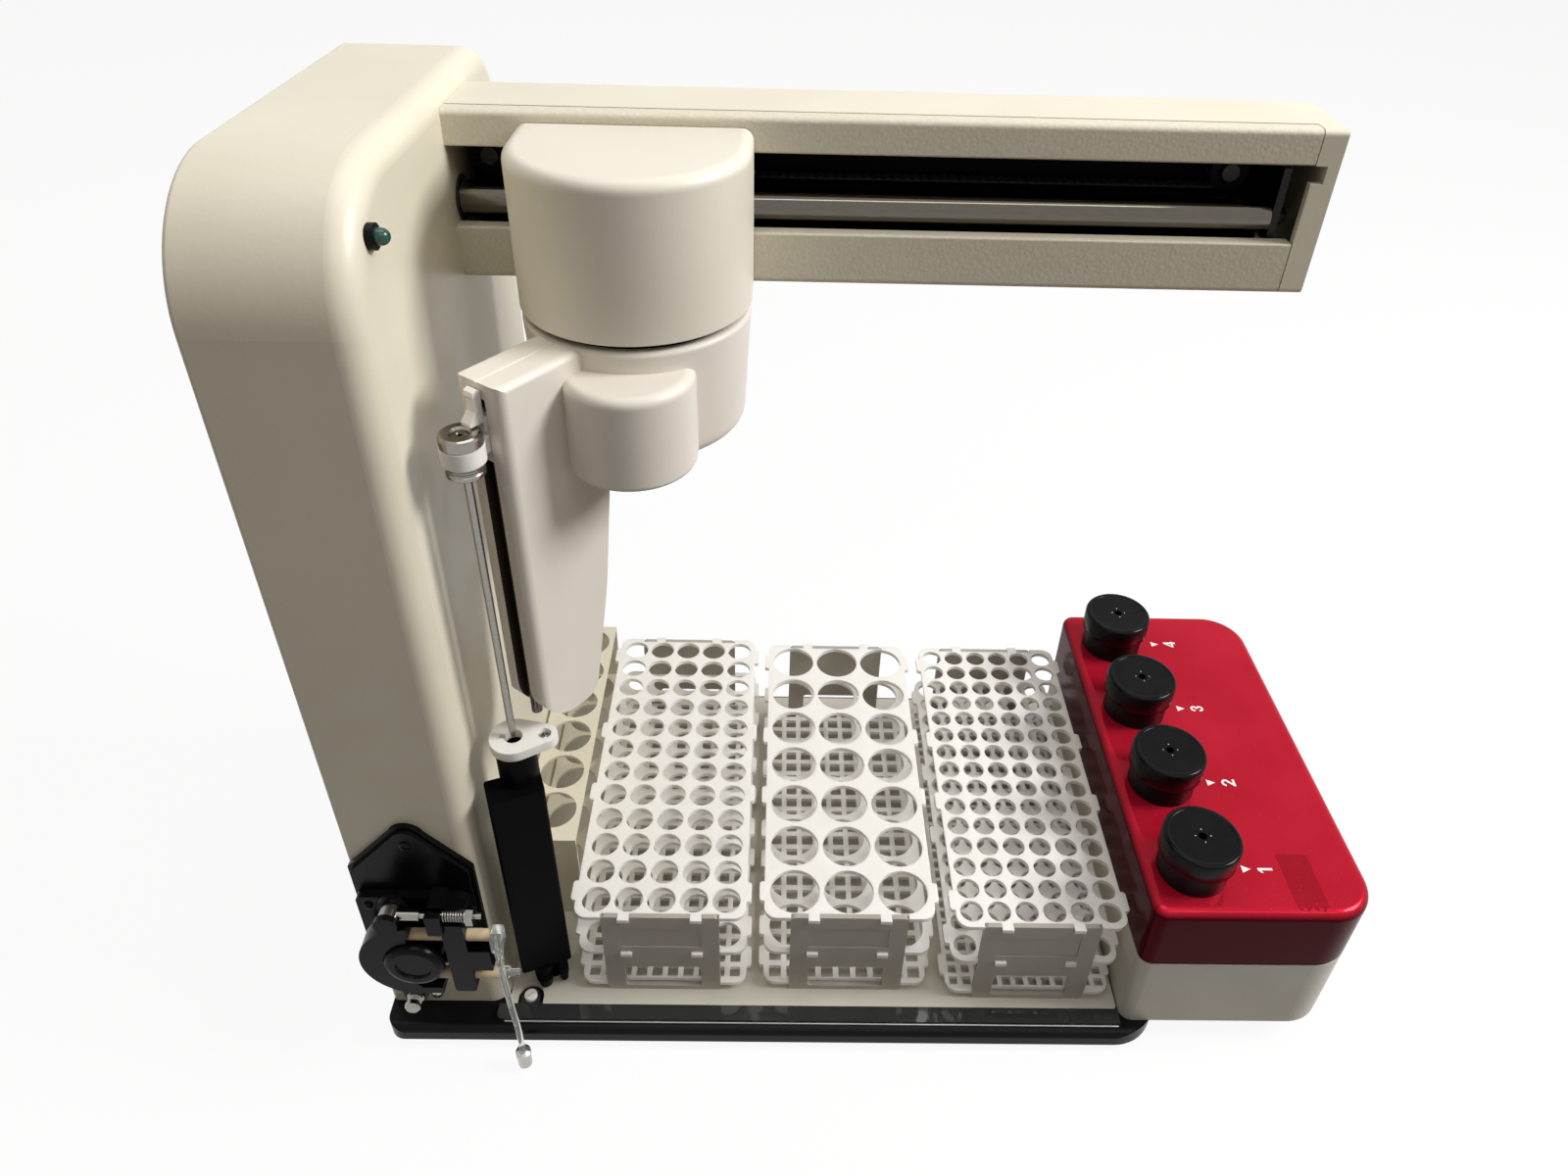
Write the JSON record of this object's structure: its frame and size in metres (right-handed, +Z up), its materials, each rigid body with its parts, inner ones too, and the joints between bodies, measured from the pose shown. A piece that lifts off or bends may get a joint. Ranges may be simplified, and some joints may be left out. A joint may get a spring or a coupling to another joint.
{
  "type": "autosampler",
  "caption": "Bench autosampler: a tower and slotted arm carry a swinging head with a lifting probe over tube racks, with a rinse post, tubing pump and knob pod on one base.",
  "frame": {"origin": "centre of the outline at bench level, under the rubber feet, without the drain tube", "axes": "+X to the right along the arm, +Y to the back, +Z up; the front faces -Y"},
  "size_m": [0.598, 0.3126, 0.542],
  "materials": {
    "black_moulding": "satin black moulded tray",
    "rubber_feet": "matt rubber",
    "cream_sheet": "satin cream paint on sheet",
    "clear_acrylic": "clear acrylic",
    "cream_moulding": "fine satin cream moulding",
    "cream_textured": "cream textured powder coat on aluminium",
    "white_moulding": "off white moulding",
    "rack_white": "white polypropylene",
    "steel": "bright steel",
    "chrome_rod": "ground and polished rod",
    "black_gloss": "semi gloss black",
    "green_lens": "dark green lens",
    "dark_metal": "black anodised",
    "belt_rubber": "black rubber",
    "bronze": "sintered bronze",
    "red_anodised": "red anodised, satin",
    "white_print": "white print",
    "tan_tubing": "tan pump tubing",
    "clear_tubing": "clear flexible tube"
  },
  "bodies": {
    "frame": {"base_tray": "black_moulding", "base_feet": "rubber_feet", "deck_plate": "cream_sheet", "clear_strip": "clear_acrylic", "panel_screws": "steel", "tower_shell": "cream_moulding", "tower_side_panel": "cream_moulding", "led_bezel": "black_gloss", "led_lens": "green_lens", "arm_beam": "cream_textured", "arm_upper_cover": "cream_textured", "arm_lower_cover": "cream_textured", "arm_liner": "dark_metal", "arm_end_cap": "cream_textured", "guide_shaft": "chrome_rod", "shaft_bracket": "steel", "drive_belt": "belt_rubber", "rinse_tube": "black_gloss", "rinse_block": "black_gloss", "rinse_barbs": "black_gloss", "rinse_cap": "white_moulding", "standards_rack": "cream_sheet", "rack_a_plates": "rack_white", "rack_b_plates": "rack_white", "rack_c_plates": "rack_white", "rack_ends": "rack_white", "pod_body": "cream_moulding", "pod_gasket": "belt_rubber", "pod_lid": "red_anodised", "knob_bushes": "steel", "pod_marks": "white_print", "pump_plate": "black_gloss", "pump_bracket": "black_gloss", "pump_head": "black_gloss", "pump_tubing": "tan_tubing", "pump_connectors": "clear_acrylic", "pump_pivot": "steel", "drain_tube": "clear_tubing", "drain_fitting": "steel"},
    "carriage": {"carriage_cover": "white_moulding", "carriage_block": "dark_metal", "carriage_bushes": "bronze"},
    "rotor": {"rotor_housing": "white_moulding", "rotor_spindle": "steel", "wing_front": "white_moulding", "wing_back": "white_moulding", "lift_rod": "chrome_rod"},
    "probe_slider": {"z_slider": "white_moulding", "probe_clamp": "steel", "probe": "steel"},
    "drive_pulley": {"drive_pulley": "steel"},
    "idler_pulley": {"idler_pulley": "steel"},
    "knob_1": {"knob_1": "black_gloss"},
    "knob_2": {"knob_2": "black_gloss"},
    "knob_3": {"knob_3": "black_gloss"},
    "knob_4": {"knob_4": "black_gloss"},
    "pump_rotor": {"pump_rotor": "black_gloss"},
    "pump_lever": {"pump_lever": "black_gloss"},
    "pump_rod": {"pump_rod": "steel", "pump_spring": "steel"}
  },
  "joints": [
    {"name": "carriage_slide", "type": "slide", "parent": "frame", "child": "carriage", "axis": [1, 0, 0], "range_m": [0, 0.264]},
    {"name": "rotor_swing", "type": "hinge", "parent": "carriage", "child": "rotor", "pos_m": [-0.1325, -0.002, 0.4515], "axis": [0, 0, 1], "range_deg": [0, 252]},
    {"name": "probe_lift", "type": "slide", "parent": "rotor", "child": "probe_slider", "axis": [0, 0, 1], "range_m": [-0.158, 0]},
    {"name": "drive_pulley_turn", "type": "hinge", "parent": "frame", "child": "drive_pulley", "pos_m": [-0.211, 0.0585, 0.503], "axis": [0, 1, 0], "continuous": true},
    {"name": "idler_pulley_turn", "type": "hinge", "parent": "frame", "child": "idler_pulley", "pos_m": [0.171, 0.0585, 0.503], "axis": [0, 1, 0], "continuous": true},
    {"name": "knob_1_turn", "type": "hinge", "parent": "frame", "child": "knob_1", "pos_m": [0.1933, -0.0978, 0.13], "axis": [0, 0, 1], "range_deg": [-150, 150]},
    {"name": "knob_2_turn", "type": "hinge", "parent": "frame", "child": "knob_2", "pos_m": [0.1933, -0.0306, 0.13], "axis": [0, 0, 1], "range_deg": [-150, 150]},
    {"name": "knob_3_turn", "type": "hinge", "parent": "frame", "child": "knob_3", "pos_m": [0.1933, 0.0366, 0.13], "axis": [0, 0, 1], "range_deg": [-150, 150]},
    {"name": "knob_4_turn", "type": "hinge", "parent": "frame", "child": "knob_4", "pos_m": [0.1933, 0.1038, 0.13], "axis": [0, 0, 1], "range_deg": [-150, 150]},
    {"name": "pump_rotor_turn", "type": "hinge", "parent": "frame", "child": "pump_rotor", "pos_m": [-0.262, -0.145, 0.108], "axis": [0, 1, 0], "continuous": true},
    {"name": "pump_lever_swing", "type": "hinge", "parent": "frame", "child": "pump_lever", "pos_m": [-0.27, -0.145, 0.066], "axis": [0, -1, 0], "range_deg": [0, 4], "stiffness_Nm_per_rad": 1.5, "deforming": ["pump_spring"]},
    {"name": "pump_rod_swing", "type": "hinge", "parent": "pump_lever", "child": "pump_rod", "pos_m": [-0.271, -0.145, 0.146], "axis": [0, -1, 0], "range_deg": [0, 75]}
  ],
  "couplings": [
    {"joint": "drive_pulley_turn", "follows": "carriage_slide", "rad_per_m": -114.94},
    {"joint": "idler_pulley_turn", "follows": "carriage_slide", "rad_per_m": -114.94}
  ]
}
